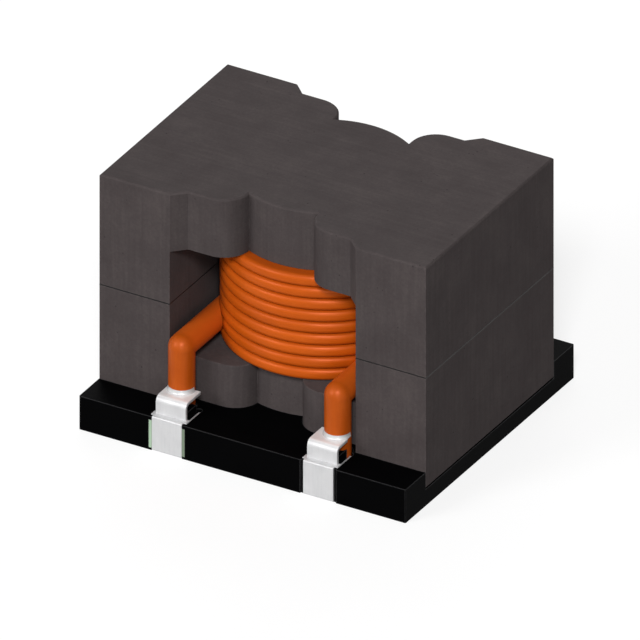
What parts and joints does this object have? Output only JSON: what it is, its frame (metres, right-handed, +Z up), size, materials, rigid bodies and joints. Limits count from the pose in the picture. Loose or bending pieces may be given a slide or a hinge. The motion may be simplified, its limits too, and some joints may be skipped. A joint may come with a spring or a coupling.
{
  "type": "flat wire inductor",
  "caption": "Flat wire power inductor: copper coil wound on edge between ferrite core halves, on a black moulded base with folded solder terminals.",
  "frame": {"origin": "centre of the base's underside, on the board plane", "axes": "+X along the long side, +Y away from the terminal side, +Z up from the board"},
  "size_m": [0.0274, 0.0244, 0.0199],
  "materials": {
    "base_plastic": "black moulded thermoset, fine matt",
    "ferrite": "sintered ferrite, dark grey, matt with ground mating faces",
    "bond": "dark epoxy",
    "coil_copper": "copper wire under amber enamel, semi-gloss",
    "lead_copper": "copper wire under darker amber enamel, semi-gloss",
    "tinned_sheet": "tin plated sheet, satin",
    "solder": "solder, smooth",
    "mark_paint": "pale green marking paint"
  },
  "bodies": {
    "root": {"base_header": "base_plastic", "core_bottom_half": "ferrite", "core_top_half": "ferrite", "core_leg_bond": "bond", "core_base_bond": "bond", "flat_wire_coil": "coil_copper", "start_lead": "lead_copper", "finish_lead": "lead_copper", "start_terminal": "tinned_sheet", "finish_terminal": "tinned_sheet", "start_solder": "solder", "finish_solder": "solder", "start_mark": "mark_paint"}
  },
  "joints": []
}
